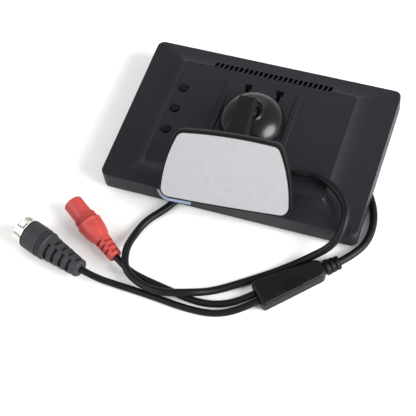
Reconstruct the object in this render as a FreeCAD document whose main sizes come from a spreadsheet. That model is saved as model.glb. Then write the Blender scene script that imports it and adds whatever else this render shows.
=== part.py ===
import FreeCAD, Part

import math
import os
import re

import Sketcher

# Rear-view monitor of a backup camera kit, lying face down: a flat display case with rear buttons,
# a ball-jointed adhesive stand held on its back by keyhole hooks, and one lead that passes under
# the case to a splitter with a video tail and a power tail.
#
# Frame: millimetres, +X along the case's width, +Y towards its top edge, +Z up out of its back.
# The origin is on the supporting surface under the middle of the case and stand together.
# The case rests on the lead that runs under it, so its front face is one lead diameter up.

VECTOR = FreeCAD.Vector
UP = VECTOR(0, 0, 1)

# alias, value, what it sets
SIZES = [
    ("case_width", 150.0, "outside width of the case"),
    ("case_length", 100.0, "outside height of the case, along Y"),
    ("case_mid_y", 3.75, "Y of the middle of the case"),
    ("case_corner", 4.0, "radius of the case's upright corners"),
    ("case_wall", 2.0, "wall of the bezel and of the cover"),
    ("bezel_depth", 11.6, "front face to the seam"),
    ("cover_depth", 6.4, "seam to the raised middle of the cover"),
    ("border_rise", 1.4, "seam to the top of the cover's flat border"),
    ("plateau_width", 104.6, "width of the raised middle"),
    ("plateau_length", 71.6, "length of the raised middle, along Y"),
    ("cove_reach", 11.7, "how far the hollow slope spreads from the raised middle in X"),
    ("cove_reach_along", 8.2, "the same in Y"),
    ("window_width", 111.0, "width of the screen opening"),
    ("window_length", 63.0, "length of the screen opening, along Y"),
    ("glass_lap", 3.5, "how far the screen glass laps the opening on each side"),
    ("glass_depth", 1.2, "thickness of the screen glass"),
    ("panel_depth", 2.4, "thickness of the display panel"),
    ("tray_depth", 1.4, "thickness of the backlight tray"),
    ("board_height", 9.0, "front face to the underside of the boards"),
    ("board_depth", 1.6, "thickness of the boards"),
    ("board_width", 82.0, "width of the main board"),
    ("board_length", 60.0, "length of the main board, along Y"),
    ("board_mid_x", 4.0, "X of the middle of the main board"),
    ("board_inset", 5.0, "board edge to the middle of a fixing screw"),
    ("boss_radius", 3.0, "radius of the screw bosses inside the cover"),
    ("screw_radius", 1.1, "radius of the small self-tapping screws"),
    ("screw_head", 2.2, "radius of their heads"),
    ("screw_length", 5.6, "length of their shanks"),
    ("button_x", -47.0, "X of the three rear buttons"),
    ("button_mid_y", 0.8, "Y of the middle button, from the middle of the case"),
    ("button_pitch", 15.1, "distance from button to button"),
    ("button_radius", 2.35, "radius of a button cap"),
    ("button_gap", 0.45, "gap round a button cap"),
    ("button_proud", 1.3, "how far a button stands out of the cover"),
    ("button_travel", 0.6, "how far a button goes in"),
    ("vent_count", 24, "number of vent slots"),
    ("vent_pitch", 3.03, "distance from slot to slot"),
    ("vent_width", 2.1, "width of a vent slot"),
    ("vent_length", 6.8, "length of a vent slot"),
    ("vent_mid_x", 0.2, "X of the middle of the row of vents"),
    ("vent_lap", 0.4, "how far the vents run into the raised middle"),
    ("mount_x", -1.0, "X of the stand's middle line"),
    ("dome_y", 3.5, "Y of the dome, from the middle of the case"),
    ("dome_radius", 19.0, "radius of the dome at the cover"),
    ("dome_rise", 12.2, "height of the dome over the cover"),
    ("dome_wall", 2.0, "wall of the dome"),
    ("track_gap", 0.15, "gap between the cover and the track plate"),
    ("track_depth", 1.6, "thickness of the track plate"),
    ("hook_x", 9.5, "middle line of the stand to the middle of a hook"),
    ("hook_y", 13.4, "dome middle to the middle of an upper hook"),
    ("hook_step", 20.0, "upper hook to lower hook"),
    ("hook_length", 3.2, "length of a hook, along Y"),
    ("hook_foot", 4.0, "width of a hook's foot"),
    ("hook_stem", 2.0, "width of a hook's stem"),
    ("slide_travel", 9.6, "how far the bracket slides before its hooks come out"),
    ("keyhole_gap", 0.2, "gap round a hook in its keyhole"),
    ("rail_offset", 19.4, "middle line of the stand to the inner side of a guide rail"),
    ("rail_width", 3.8, "width of a guide rail"),
    ("rail_rise", 0.6, "height of a guide rail"),
    ("ball_radius", 5.6, "radius of the ball"),
    ("ball_height", 24.2, "front face to the middle of the ball"),
    ("ball_gap", 0.05, "running clearance of the ball in its cup"),
    ("mouth_radius", 4.6, "radius of the hole in the dome"),
    ("mouth_flare", 6.4, "radius of the hole where it opens out"),
    ("neck_radius", 2.1, "radius of the stand's neck"),
    ("cup_radius", 8.0, "outside radius of the ball's cup"),
    ("cup_depth", 3.6, "height of the ball's cup"),
    ("arm_top", 12.8, "ball middle to the top of the arm"),
    ("arm_depth", 3.5, "thickness of the arm over the dome"),
    ("arm_tip", 4.0, "how far the arm passes the ball's middle"),
    ("arm_tip_width", 8.4, "width of the arm over the ball"),
    ("arm_aside", 2.3, "how far the arm's middle line is to the left of the neck, over the ball"),
    ("arm_foot_aside", 1.2, "the same at the base plate"),
    ("arm_top_width", 10.6, "width of the arm's top face at the base plate"),
    ("arm_foot_width", 19.0, "width of the arm's underside at the base plate"),
    ("arm_draft", 1.3, "how much wider each side of the arm is underneath, over the ball"),
    ("plate_reach", 48.4, "ball middle to the middle of the sticking face, along Y"),
    ("plate_rise", 11.6, "ball middle to the middle of the sticking face, along Z"),
    ("plate_lean", 52.2, "angle of the base plate to the back of the case"),
    ("stand_swivel", 2.0, "turn of the whole stand about the ball at rest"),
    ("plate_twist", 2.5, "turn of the base plate in its own plane"),
    ("pad_top_width", 55.0, "width of the pad at its upper corners"),
    ("pad_foot_width", 72.0, "width of the pad at its lower corners"),
    ("pad_length", 37.2, "length of the pad"),
    ("pad_bulge", 2.4, "bow of the pad's sides"),
    ("pad_corner", 4.5, "corner radius of the pad"),
    ("pad_depth", 1.1, "thickness of the foam pad"),
    ("liner_depth", 0.3, "thickness of the release liner"),
    ("plate_rim", 1.6, "how far the base plate stands out round the pad"),
    ("plate_depth", 3.8, "thickness of the base plate"),
    ("tab_reach", 1.8, "how far the pull tab stands out of the base plate"),
    ("lead_diameter", 4.3, "diameter of the lead"),
    ("tail_diameter", 3.9, "diameter of the two tails"),
    ("hood_width", 11.0, "width of the lead's outlet hood, along Y"),
    ("hood_length", 17.0, "length of the outlet hood, along X"),
    ("hood_rise", 9.8, "height of the outlet hood over the cover"),
    ("outlet_x", 8.0, "X of the outlet face"),
    ("outlet_y", -26.25, "Y of the outlet, from the middle of the case"),
    ("outlet_rise", 4.5, "height of the outlet over the cover"),
    ("relief_length", 16.0, "length of the strain relief outside the hood"),
    ("relief_radius", 3.9, "radius of the strain relief at the hood"),
    ("splitter_length", 39.8, "length of the splitter moulding"),
    ("splitter_width", 16.5, "width of the splitter at the tails"),
    ("splitter_neck", 11.0, "width of the splitter at the lead"),
    ("splitter_depth", 8.6, "height of the splitter"),
    ("splitter_boot", 9.0, "length of the boot on the splitter"),
    ("boot_radius", 4.4, "radius of the boot's rings"),
    ("tail_spacing", 4.6, "distance between the two tails at the splitter"),
    ("thread_radius", 7.9, "outside radius of the video connector's thread"),
    ("thread_length", 4.6, "length of the threaded part of the ring"),
    ("ring_flange", 1.3, "thickness of the flange behind the thread"),
    ("shell_length", 13.0, "length of the ring's tube, whose rear is inside the moulding"),
    ("shell_bore", 6.6, "inside radius of the threaded ring"),
    ("moulding_radius", 8.5, "radius of the video connector's moulding"),
    ("insert_recess", 5.0, "depth of the pins' face in the ring"),
    ("pin_radius", 0.75, "radius of a video connector pin"),
    ("pin_circle", 3.4, "radius of the circle of pins"),
    ("jack_radius", 5.7, "radius of the power jack's nose"),
    ("jack_collar", 7.3, "radius of the power jack's collar"),
    ("jack_bore", 3.3, "radius of the hole that holds the jack's sleeve"),
    ("jack_pin", 1.05, "radius of the power jack's pin"),
]

# Routes of the lead and of the tails, chosen by hand, from the outlet to the splitter and from the
# connectors to the splitter. The long loop lies on the surface and passes over the power tail twice.
LEAD_ROUTE = [
    (24.0, -22.5, 26.8),
    (34.5, -21.9, 26.4),
    (43.5, -19.6, 26.0),
    (54.5, -23.4, 25.6),
    (64.5, -31.5, 24.4),
    (68.2, -42.5, 22.8),
    (64.8, -54.0, 15.0),
    (52.5, -60.3, 5.6),
    (38.8, -70.6, 2.3),
    (24.0, -81.6, 2.2),
    (8.0, -93.0, 2.4),
    (-3.5, -99.8, 7.4),
    (-17.5, -104.0, 7.4),
    (-31.0, -101.5, 5.0),
    (-41.8, -96.6, 7.8),
    (-45.6, -85.2, 9.0),
    (-46.3, -72.5, 3.0),
    (-43.2, -60.8, 2.2),
    (-35.2, -50.5, 2.15),
    (-29.0, -39.0, 2.15),
    (-26.5, -23.5, 2.15),
    (-30.5, -7.0, 2.15),
    (-29.5, 11.0, 2.15),
    (-17.0, 25.0, 2.15),
    (3.0, 31.5, 2.15),
    (25.0, 28.5, 2.15),
    (45.0, 18.0, 2.15),
    (61.0, 5.0, 2.15),
    (72.5, -8.5, 2.15),
    (79.5, -22.5, 2.15),
    (80.5, -37.5, 2.4),
    (76.0, -49.6, 4.15),
]
UNDER_START = 18
UNDER_END = 27
VIDEO_ROUTE = [
    (-56.0, -105.3, 6.9),
    (-42.0, -103.9, 2.0),
    (-21.0, -105.1, 2.0),
    (-4.0, -106.8, 2.0),
    (12.3, -106.0, 2.0),
    (24.9, -100.4, 3.0),
]
POWER_ROUTE = [
    (-42.0, -94.1, 3.6),
    (-31.5, -96.2, 2.0),
    (-16.5, -98.6, 2.0),
    (-2.5, -101.2, 2.0),
    (10.5, -100.6, 2.0),
    (22.7, -95.7, 3.0),
]
SPLITTER_FOOT = (32.3, -90.5)
SPLITTER_TURN = 42.1
VIDEO_FRONT = VECTOR(-107.1, -88.5, 8.9)
VIDEO_BACK = VECTOR(-65.2, -103.3, 8.3)
POWER_FRONT = VECTOR(-85.6, -64.8, 8.7)
POWER_BACK = VECTOR(-50.1, -89.2, 5.4)

# Slope round the raised middle: share of its reach and share of its climb, from the border up.
COVE_STEPS = [(1.0, 0.0), (0.5, 0.26), (0.15, 0.62), (0.0, 1.0)]
COVE_CORNER = 1.6

# Gap between the end of a lead or tail and the moulding that it enters.
END_GAP = 0.15

# Arc, in degrees, of each slot in the connectors' strain reliefs.
SLOT_ARC = 78.0
SLOT_TURN = -15.0

doc = FreeCAD.newDocument("BackupMonitor")
sheet = doc.addObject("Spreadsheet::Sheet", "Sizes")
nodes = {}


def fill_sheet():
    for row, (alias, value, note) in enumerate(SIZES, start=1):
        sheet.set(f"A{row}", alias)
        sheet.set(f"B{row}", str(value))
        sheet.set(f"C{row}", note)
        sheet.setAlias(f"B{row}", alias)
    doc.recompute()


def size(alias):
    return float(sheet.get(alias))


def bind(item, field, formula):
    """Tie a property to the sheet: each size named in the formula becomes a reference to its cell."""
    names = {alias for alias, _, _ in SIZES}
    item.setExpression(
        field,
        re.sub(r"[a-z_]+", lambda word: f"Sizes.{word[0]}" if word[0] in names else word[0], formula),
    )


def place(item, corner):
    for axis, formula in zip("xyz", corner):
        bind(item, f".Placement.Base.{axis}", formula)


def block(name, sides, corner):
    """A box bound to the sheet: its three sides and its lowest corner are formulas."""
    box = doc.addObject("Part::Box", name)
    for field, formula in zip(("Length", "Width", "Height"), sides):
        bind(box, field, formula)
    place(box, corner)
    return box


def rod(name, radius, height, foot):
    """An upright cylinder bound to the sheet."""
    cylinder = doc.addObject("Part::Cylinder", name)
    bind(cylinder, "Radius", radius)
    bind(cylinder, "Height", height)
    place(cylinder, foot)
    return cylinder


def join(name, items):
    fuse = doc.addObject("Part::MultiFuse", name)
    fuse.Shapes = items
    return fuse


def group(name, items):
    compound = doc.addObject("Part::Compound", name)
    compound.Links = items
    return compound


def solid(name, shape, placement=None):
    """A sub-part whose shape is worked out from the sheet's sizes."""
    feature = doc.addObject("Part::Feature", name)
    feature.Shape = shape
    if placement is not None:
        feature.Placement = placement
    return feature


def keep(node, item):
    item.Label = node
    nodes[node] = item


def level(rise):
    """Z formula of a height over the front face of the case, which lies on the lead."""
    return f"lead_diameter + {rise}"


def plane(body, role):
    return next(item for item in body.Origin.OriginFeatures if item.Role == role)


def sheet_sketch(body, name, middle, height):
    sketch = body.newObject("Sketcher::SketchObject", name)
    sketch.AttachmentSupport = (plane(body, "XY_Plane"), [""])
    sketch.MapMode = "FlatFace"
    for axis, formula in zip("xyz", (*middle, height)):
        bind(sketch, f".AttachmentOffset.Base.{axis}", formula)
    return sketch


def rectangle(body, name, middle, height, sides, construction=False):
    """A sketched rectangle, centred on its own origin, with its two sides bound to the sheet."""
    sketch = sheet_sketch(body, name, middle, height)
    corners = [VECTOR(-9, -6, 0), VECTOR(9, -6, 0), VECTOR(9, 6, 0), VECTOR(-9, 6, 0)]
    for start, end in zip(corners, corners[1:] + corners[:1]):
        sketch.addGeometry(Part.LineSegment(start, end), construction)
    for line in range(4):
        sketch.addConstraint(Sketcher.Constraint("Coincident", line, 2, (line + 1) % 4, 1))
        direction = "Vertical" if line % 2 else "Horizontal"
        sketch.addConstraint(Sketcher.Constraint(direction, line))
    sketch.addConstraint(Sketcher.Constraint("Symmetric", 0, 1, 2, 1, -1, 1))
    wide = sketch.addConstraint(Sketcher.Constraint("DistanceX", 0, 1, 0, 2, 18))
    long = sketch.addConstraint(Sketcher.Constraint("DistanceY", 1, 1, 1, 2, 12))
    bind(sketch, f"Constraints[{wide}]", sides[0])
    bind(sketch, f"Constraints[{long}]", sides[1])
    return sketch


def four_holes(body, name, middle, height, sides, radius):
    """Four equal circles on the corners of a construction rectangle."""
    sketch = rectangle(body, name, middle, height, sides, construction=True)
    first = None
    for line in range(4):
        circle = sketch.addGeometry(Part.Circle(VECTOR(0, 0, 0), UP, 1))
        sketch.addConstraint(Sketcher.Constraint("Coincident", circle, 3, line, 1))
        if first is None:
            first = circle
            ring = sketch.addConstraint(Sketcher.Constraint("Radius", circle, 1))
            bind(sketch, f"Constraints[{ring}]", radius)
        else:
            sketch.addConstraint(Sketcher.Constraint("Equal", first, circle))
    return sketch


def pad(body, name, sketch, depth):
    feature = body.newObject("PartDesign::Pad", name)
    feature.Profile = sketch
    bind(feature, "Length", depth)
    doc.recompute()
    return feature


def pocket(body, name, sketch, depth):
    """Cut down from the sketch, and make sure that it did cut."""
    before = body.Shape.Volume
    feature = body.newObject("PartDesign::Pocket", name)
    feature.Profile = sketch
    bind(feature, "Length", depth)
    doc.recompute()
    if body.Shape.Volume >= before:
        raise RuntimeError(f"{name} cuts nothing")
    return feature


def round_uprights(body, name, feature, radius):
    """Fillet the upright edges of the feature's outline."""
    edges = [
        f"Edge{number}"
        for number, edge in enumerate(feature.Shape.Edges, start=1)
        if abs(abs(edge.tangentAt(edge.FirstParameter).z) - 1) < 1e-6
    ]
    fillet = body.newObject("PartDesign::Fillet", name)
    fillet.Base = (feature, edges)
    bind(fillet, "Radius", radius)
    doc.recompute()
    return fillet


def slab(name, middle, height, sides, depth, corner=None):
    """A body that starts as one padded rectangle."""
    body = doc.addObject("PartDesign::Body", name)
    base = pad(body, f"{name}_pad", rectangle(body, f"{name}_outline", middle, height, sides), depth)
    if corner:
        round_uprights(body, f"{name}_corners", base, corner)
    return body


CASE_MIDDLE = ("0", "case_mid_y")


def front_bezel():
    body = slab(
        "bezel_body", CASE_MIDDLE, level("0"), ("case_width", "case_length"), "bezel_depth", "case_corner"
    )
    inside = rectangle(
        body,
        "bezel_inside",
        CASE_MIDDLE,
        level("bezel_depth"),
        ("case_width - 2 * case_wall", "case_length - 2 * case_wall"),
    )
    pocket(body, "bezel_hollow", inside, "bezel_depth - case_wall")
    sides = ("window_width", "window_length")
    window = rectangle(body, "window_outline", CASE_MIDDLE, level("case_wall"), sides)
    pocket(body, "window", window, "case_wall")
    keep("front_bezel", body)


def display():
    """Screen glass, display panel and backlight tray, stacked behind the window."""
    lap = ("window_width + 2 * glass_lap", "window_length + 2 * glass_lap")
    keep("screen_glass", slab("glass_body", CASE_MIDDLE, level("case_wall"), lap, "glass_depth"))
    keep("lcd_panel", slab("panel_body", CASE_MIDDLE, level("case_wall + glass_depth"), lap, "panel_depth"))
    tray_foot = level("case_wall + glass_depth + panel_depth")
    tray = slab("tray_body", CASE_MIDDLE, tray_foot, lap, "tray_depth")
    hollow = rectangle(
        tray,
        "tray_inside",
        CASE_MIDDLE,
        level("case_wall + glass_depth + panel_depth + tray_depth"),
        ("window_width - 2 * glass_lap", "window_length - 2 * glass_lap"),
    )
    pocket(tray, "tray_hollow", hollow, "tray_depth / 2")
    keep("backlight_tray", tray)


def main_board():
    middle = ("board_mid_x", "case_mid_y")
    body = slab("board_body", middle, level("board_height"), ("board_width", "board_length"), "board_depth")
    holes = four_holes(
        body,
        "board_holes",
        middle,
        level("board_height + board_depth"),
        ("board_width - 2 * board_inset", "board_length - 2 * board_inset"),
        "screw_radius + 0.2",
    )
    pocket(body, "board_drilling", holes, "board_depth")
    keep("main_board", body)


def board_chips():
    """The parts soldered on the main board: video decoder, regulator coil, memory and crystal."""
    top = level("board_height + board_depth")
    chips = [
        ("decoder", (14, 14, 1.4), (12, -4)),
        ("coil", (8, 8, 2.6), (30, 14)),
        ("memory", (6, 5, 1.2), (14, 16)),
        ("crystal", (5, 3.2, 1.0), (-4, 22)),
        ("capacitor_block", (7, 4, 2.4), (24, -22)),
    ]
    boxes = [
        block(
            name,
            [f"{side}" for side in sides],
            (f"board_mid_x - 12 + {x} - {sides[0] / 2}", f"case_mid_y + {y} - {sides[1] / 2}", top),
        )
        for name, sides, (x, y) in chips
    ]
    keep("board_chips", group("chip_group", boxes))


def button_places():
    """Y formulas of the three buttons, top to bottom."""
    return [f"case_mid_y + button_mid_y + {step} * button_pitch" for step in (1, 0, -1)]


def button_board():
    """The narrow board under the buttons, with one switch for each."""
    body = slab(
        "key_board_body",
        ("button_x", "case_mid_y + button_mid_y"),
        level("board_height"),
        ("4 * boss_radius", "2 * button_pitch + 14"),
        "board_depth",
    )
    keep("button_board", body)
    switches = []
    for number, y in enumerate(button_places()):
        foot = level("board_height + board_depth")
        corner = ("button_x - 3", f"{y} - 3", foot)
        case = block(f"switch_case_{number}", ("6", "6", "2.6"), corner)
        cap = rod(f"switch_cap_{number}", "1.7", "0.6", ("button_x", y, f"{foot} + 2.6"))
        switches.append(join(f"switch_{number}", [case, cap]))
    keep("tact_switches", group("switch_group", switches))


def rounded(width, length, radius, z, middle=(0.0, 0.0)):
    """A flat wire round a rectangle with rounded corners."""
    x, y = middle
    half_x = width / 2
    half_y = length / 2
    turn = radius * (1 - math.sqrt(0.5))
    edges = []
    for sign_x, sign_y in ((1, 1), (-1, 1), (-1, -1), (1, -1)):
        ends = [
            VECTOR(x + sign_x * half_x, y + sign_y * (half_y - radius), z),
            VECTOR(x + sign_x * (half_x - turn), y + sign_y * (half_y - turn), z),
            VECTOR(x + sign_x * (half_x - radius), y + sign_y * half_y, z),
        ]
        if sign_x != sign_y:
            ends.reverse()
        edges.append(Part.Arc(*ends).toShape())
    wire = []
    for edge, following in zip(edges, edges[1:] + edges[:1]):
        wire.append(edge)
        wire.append(Part.LineSegment(edge.Vertexes[-1].Point, following.Vertexes[0].Point).toShape())
    return Part.Wire(wire)


def seam_height():
    return size("lead_diameter") + size("bezel_depth")


def plateau_height():
    return seam_height() + size("cover_depth")


def box_between(low, high):
    return Part.makeBox(*(b - a for a, b in zip(low, high)), VECTOR(*low))


def cover_blank():
    """The cover's outer shape less its inner shape: border, hollow slope and raised middle."""
    middle = (0.0, size("case_mid_y"))
    wall = size("case_wall")
    seam = seam_height()
    border = seam + size("border_rise")
    rise = plateau_height() - border
    outline = (size("case_width"), size("case_length"), size("case_corner"))
    outer = [rounded(*outline, seam, middle), rounded(*outline, (seam + border) / 2, middle)]
    corner = COVE_CORNER
    inner = []
    for spread, climb in COVE_STEPS:
        width = size("plateau_width") + 2 * spread * size("cove_reach")
        length = size("plateau_length") + 2 * spread * size("cove_reach_along")
        outer.append(rounded(width, length, corner, border + climb * rise, middle))
        floor = max(seam, border + climb * rise - wall)
        inner.append((width - 2 * wall, length - 2 * wall, corner / 2, floor))
    inner[0] = (*inner[0][:3], seam)
    inner[1] = (*inner[1][:3], seam + 0.4 * wall)
    hollow = Part.makeLoft([rounded(*station, middle) for station in inner], True, True)
    mouth = rounded(*inner[0][:3], seam - 1, middle)
    mouth = Part.Face(mouth).extrude(VECTOR(0, 0, 1))
    return Part.makeLoft(outer, True, True).cut(hollow).cut(mouth)


def keyhole_places():
    """X and Y of the middle of each hook, at rest."""
    x = size("mount_x")
    y = size("case_mid_y") + size("dome_y") + size("hook_y")
    sides = (x - size("hook_x"), x + size("hook_x"))
    return [(side, y - step * size("hook_step")) for side in sides for step in (0, 1)]


def keyholes():
    """Each keyhole is an entry as large as a hook's foot, over a channel as wide as its stem."""
    gap = size("keyhole_gap")
    half = size("hook_length") / 2 + gap
    foot = size("hook_foot") / 2 + gap
    stem = size("hook_stem") / 2 + gap
    low = seam_height()
    high = plateau_height() + 1
    holes = []
    for x, y in keyhole_places():
        entry = y + size("slide_travel")
        holes.append(box_between((x - foot, entry - half, low), (x + foot, entry + half, high)))
        holes.append(box_between((x - stem, y - half, low), (x + stem, entry, high)))
    return holes


def vents():
    """Slots through the slope above the raised middle."""
    count = int(size("vent_count"))
    pitch = size("vent_pitch")
    y = size("case_mid_y") + size("plateau_length") / 2 - size("vent_lap")
    slots = []
    for number in range(count):
        x = (number - (count - 1) / 2) * pitch + size("vent_mid_x")
        half = size("vent_width") / 2
        low = (x - half, y, seam_height())
        high = (x + half, y + size("vent_length"), plateau_height() + 1)
        slots.append(box_between(low, high))
    return slots


def outlet():
    """X, Y and Z of the middle of the lead's outlet, on the hood's open face."""
    return VECTOR(
        size("outlet_x"), size("case_mid_y") + size("outlet_y"), plateau_height() + size("outlet_rise")
    )


def hood_shapes():
    """The hood that the lead leaves through, and the hollow under it."""
    face = outlet()
    wall = size("case_wall")
    half = size("hood_width") / 2
    top = plateau_height() + size("hood_rise")
    back = face.x - size("hood_length")
    low = VECTOR(back, face.y - half, plateau_height() - wall / 2)
    shell = box_between(low, (face.x, face.y + half, top))
    low = VECTOR(back + wall, face.y - half + wall, seam_height())
    hollow = box_between(low, (face.x - wall, face.y + half - wall, top - wall))
    start = VECTOR(face.x - 1.5 * wall, face.y, face.z)
    hole = Part.makeCylinder(relief_neck(), 2 * wall, start, VECTOR(1, 0, 0))
    return shell, hollow, hole


def relief_neck():
    return size("relief_radius") - 1.3


def boss_places():
    """Main board screws, then the two between the buttons."""
    half_x = size("board_width") / 2 - size("board_inset")
    half_y = size("board_length") / 2 - size("board_inset")
    y = size("case_mid_y")
    places = [(size("board_mid_x") + a * half_x, y + b * half_y) for a in (-1, 1) for b in (-1, 1)]
    middle = y + size("button_mid_y")
    places += [(size("button_x"), middle + side * size("button_pitch") / 2) for side in (-1, 1)]
    return places


def guide_rails():
    """The two low bars that guide the bracket, with bevelled edges."""
    low = size("case_mid_y") - size("plateau_length") / 2 + 3
    high = size("case_mid_y") + size("plateau_length") / 2 - 8
    foot = plateau_height() - size("case_wall") / 2
    top = plateau_height() + size("rail_rise")
    bevel = 0.8 * size("rail_rise")
    rails = []
    for side in (-1, 1):
        middle = size("mount_x") + side * (size("rail_offset") + size("rail_width") / 2)
        half = size("rail_width") / 2
        rail = box_between((middle - half, low, foot), (middle + half, high, top))
        edges = [edge for edge in rail.Edges if edge.BoundBox.ZMin > top - 1e-6 and edge.Length > 10]
        rails.append(rail.makeChamfer(bevel, edges))
    return rails


def snap_tabs():
    """Tabs inside the cover's two long edges that locate it in the bezel."""
    seam = seam_height()
    gap = 0.15
    thickness = 1.2
    half = 5.0
    reach = size("case_length") / 2 - size("case_wall") - gap
    tabs = []
    for side in (-1, 1):
        face = size("case_mid_y") + side * reach
        back = face - side * thickness
        for step in (-1, 0, 1):
            x = step * size("case_width") / 4
            low = (x - half, min(face, back), seam - 3)
            tabs.append(box_between(low, (x + half, max(face, back), seam + 0.5)))
    return tabs


def button_heights():
    """Y of the three buttons, top to bottom."""
    middle = size("case_mid_y") + size("button_mid_y")
    return [middle + step * size("button_pitch") for step in (1, 0, -1)]


def rear_cover():
    wall = size("case_wall")
    top = plateau_height()
    board_top = size("lead_diameter") + size("board_height") + size("board_depth")
    cover = cover_blank()
    shell, hollow, hole = hood_shapes()
    cover = cover.fuse(shell).cut(hollow).cut(hole)
    for x, y in boss_places():
        boss = Part.makeCylinder(size("boss_radius"), top - wall / 2 - board_top, VECTOR(x, y, board_top))
        drill = Part.makeCylinder(size("screw_radius"), size("screw_length"), VECTOR(x, y, board_top - 0.5))
        cover = cover.fuse(boss).cut(drill)
    for shape in guide_rails() + snap_tabs():
        cover = cover.fuse(shape)
    radius = size("button_radius") + size("button_gap")
    for y in button_heights():
        foot = VECTOR(size("button_x"), y, top - 1.5 * wall)
        cover = cover.cut(Part.makeCylinder(radius, 2 * wall, foot))
    cover = cover.cut(Part.makeCompound(keyholes() + vents()))
    keep("rear_cover", solid("cover_shell", cover.removeSplitter()))


def screw(radius, head, length, head_depth):
    """A small pan-head screw along +Z, with its head below the origin."""
    shank = Part.makeCylinder(radius, length)
    cap = Part.makeCylinder(head, head_depth, VECTOR(0, 0, -head_depth))
    return shank.fuse(cap).removeSplitter()


def board_screws():
    """Screws that hold the main board to its bosses."""
    foot = size("lead_diameter") + size("board_height")
    one = screw(size("screw_radius") - 0.03, size("screw_head"), size("screw_length"), 1.4)
    copies = []
    for x, y in boss_places()[:4]:
        copy = one.copy()
        copy.translate(VECTOR(x, y, foot))
        copies.append(copy)
    keep("board_screws", solid("screw_group", Part.makeCompound(copies)))


def buttons():
    """Three caps, each with a flange that keeps it behind the cover."""
    wall = size("case_wall")
    top = plateau_height()
    flange_top = top - wall - 0.1
    flange_depth = 0.8
    height = top + size("button_proud") - flange_top
    flange_foot = VECTOR(0, 0, flange_top - flange_depth)
    for node, y in zip(("menu_button", "up_button", "down_button"), button_heights()):
        stem = Part.makeCylinder(size("button_radius"), height, VECTOR(0, 0, flange_top))
        crown = stem.makeFillet(0.6, [edge for edge in stem.Edges if edge.BoundBox.ZMin > top])
        flange = Part.makeCylinder(size("button_radius") + 0.9, flange_depth, flange_foot)
        cap = crown.fuse(flange).removeSplitter()
        cap.translate(VECTOR(size("button_x"), y, 0))
        keep(node, solid(f"{node}_cap", cap))


def revolve(points, axis=UP):
    """Turn an outline of (radius, z) points about Z."""
    corners = [VECTOR(radius, 0, z) for radius, z in points]
    face = Part.Face(Part.makePolygon(corners + corners[:1]))
    return face.revolve(VECTOR(0, 0, 0), axis, 360)


def along(start, end):
    """Placement that lays a piece's own +Z along the line from start to end."""
    return FreeCAD.Placement(start, FreeCAD.Rotation(UP, end - start))


def relief_and_inner_lead():
    """The tapered strain relief, the lead's inner end and its plug on the main board."""
    face = outlet()
    wall = size("case_wall")
    radius = size("lead_diameter") / 2
    neck = relief_neck() - 0.05
    flange = size("hood_width") / 2 - wall - 0.3
    shape = revolve(
        [
            (0, -2 * wall),
            (flange, -2 * wall),
            (flange, -wall),
            (neck, -wall),
            (neck, 0),
            (size("relief_radius"), 0),
            (size("relief_radius"), 2),
            (radius + 0.6, size("relief_length")),
            (0, size("relief_length")),
        ]
    )
    keep("strain_relief", solid("relief", shape, along(face, face + VECTOR(1, 0, 0))))
    plug_top = size("lead_diameter") + size("board_height") + size("board_depth") + 2.6
    turn_x = face.x - 2 * wall - 5
    start = VECTOR(face.x - 2 * wall, face.y, face.z)
    corner = VECTOR(turn_x, face.y, face.z)
    end = VECTOR(turn_x, face.y, plug_top)
    tube, _ = tube_along([tuple(start), tuple(corner), tuple(end)], 2 * radius - 1.0)
    keep("inner_lead", solid("inner_tube", tube))
    plug = block(
        "board_plug_box",
        ("9", "5", "2.6"),
        (
            "outlet_x - 2 * case_wall - 9.5",
            "case_mid_y + outlet_y - 2.5",
            level("board_height + board_depth"),
        ),
    )
    keep("board_plug", plug)


def dome_foot():
    """Middle of the dome on the cover's raised middle."""
    return VECTOR(size("mount_x"), size("case_mid_y") + size("dome_y"), plateau_height())


def half_section(radius, rise):
    """Right half of an ellipse's upper half, in the XZ plane."""
    curve = Part.Ellipse(VECTOR(radius, 0, 0), VECTOR(0, rise, 0), VECTOR(0, 0, 0))
    edges = [
        Part.Arc(curve, 0, math.pi / 2).toShape(),
        Part.LineSegment(VECTOR(0, rise, 0), VECTOR(0, 0, 0)).toShape(),
        Part.LineSegment(VECTOR(0, 0, 0), VECTOR(radius, 0, 0)).toShape(),
    ]
    face = Part.Face(Part.Wire(edges))
    face.rotate(VECTOR(0, 0, 0), VECTOR(1, 0, 0), 90)
    return face


def flat(points):
    """A face in the XZ plane from (x, z) points."""
    corners = [VECTOR(x, 0, z) for x, z in points]
    return Part.Face(Part.makePolygon(corners + corners[:1]))


def ball_rise():
    """Height of the ball's middle over the raised middle of the cover."""
    return size("ball_height") - size("bezel_depth") - size("cover_depth")


def dome_cover():
    """Hollow dome with a flared hole for the stand's neck, a lip round it and four screw bosses."""
    radius = size("dome_radius")
    rise = size("dome_rise")
    wall = size("dome_wall")
    mouth = size("mouth_radius")
    flare = size("mouth_flare")
    foot = size("track_gap") + size("track_depth")
    lip = rise * math.sqrt(1 - (flare / radius) ** 2)
    section = half_section(radius, rise).cut(half_section(radius - wall, rise - wall))
    below = flat([(0, -1), (radius + 1, -1), (radius + 1, foot), (0, foot)])
    funnel = [(mouth, rise - wall), (flare, lip + 0.5), (flare, rise + 1)]
    hole = flat([(0, foot), (mouth, foot), *funnel, (0, rise + 1)])
    section = section.cut(below).cut(hole)
    shell = section.Faces[0].revolve(VECTOR(0, 0, 0), UP, 360)
    shell = shell.fuse(Part.makeTorus(flare + 0.55, 0.5, VECTOR(0, 0, lip - 0.1)))
    post_top = 0.66 * rise
    for x, y in bracket_screw_places():
        post = Part.makeCylinder(1.8, post_top - foot, VECTOR(x, y, foot))
        shell = shell.fuse(post).cut(Part.makeCylinder(1.05, 4, VECTOR(x, y, foot - 0.5)))
    placement = FreeCAD.Placement(dome_foot(), FreeCAD.Rotation())
    keep("dome_cover", solid("dome_shell", shell.removeSplitter(), placement))


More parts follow.
